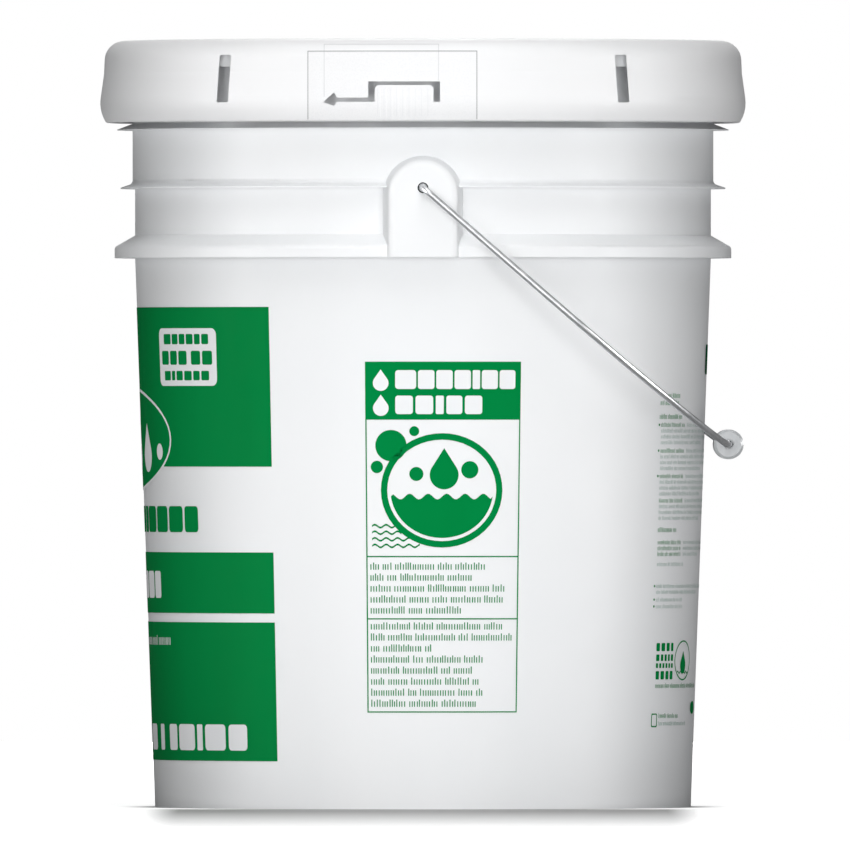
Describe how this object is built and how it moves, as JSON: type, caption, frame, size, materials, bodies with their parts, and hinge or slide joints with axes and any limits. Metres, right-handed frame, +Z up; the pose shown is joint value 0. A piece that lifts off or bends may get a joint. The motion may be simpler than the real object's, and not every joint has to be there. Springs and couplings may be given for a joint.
{
  "type": "lidded detergent pail",
  "caption": "Tapered white plastic pail for liquid detergent, with hoops round its neck, a deep press-on lid with a tear tab, and a wire bail with a plastic grip.",
  "frame": {"origin": "centre of the base, on the ground that the pail stands on", "axes": "+Z up; the bail's ears are on -Y and +Y; the bail hangs towards +X; the front print faces -X and the tear tab faces -Y"},
  "size_m": [0.316, 0.3262, 0.375],
  "materials": {
    "pail": "satin white polyethylene with green print",
    "lid": "satin white polyethylene",
    "gasket": "matt foam rubber",
    "wire": "drawn galvanised wire",
    "grip": "translucent natural plastic"
  },
  "bodies": {
    "pail": {"pail_body": "pail"},
    "lid": {"lid": "lid", "lid_gasket": "gasket"},
    "bail": {"bail_wire": "wire"},
    "grip": {"bail_grip": "grip"}
  },
  "joints": [
    {"name": "lid_lift", "type": "slide", "parent": "pail", "child": "lid", "axis": [0, 0, 1], "range_m": [0, 0.04]},
    {"name": "bail_swing", "type": "hinge", "parent": "pail", "child": "bail", "pos_m": [0, 0, 0.3023], "axis": [0, -1, 0], "range_deg": [-1.6, 261.3]},
    {"name": "grip_spin", "type": "hinge", "parent": "bail", "child": "grip", "pos_m": [0.14947, 0, 0.17754], "axis": [0, 1, 0], "continuous": true}
  ]
}
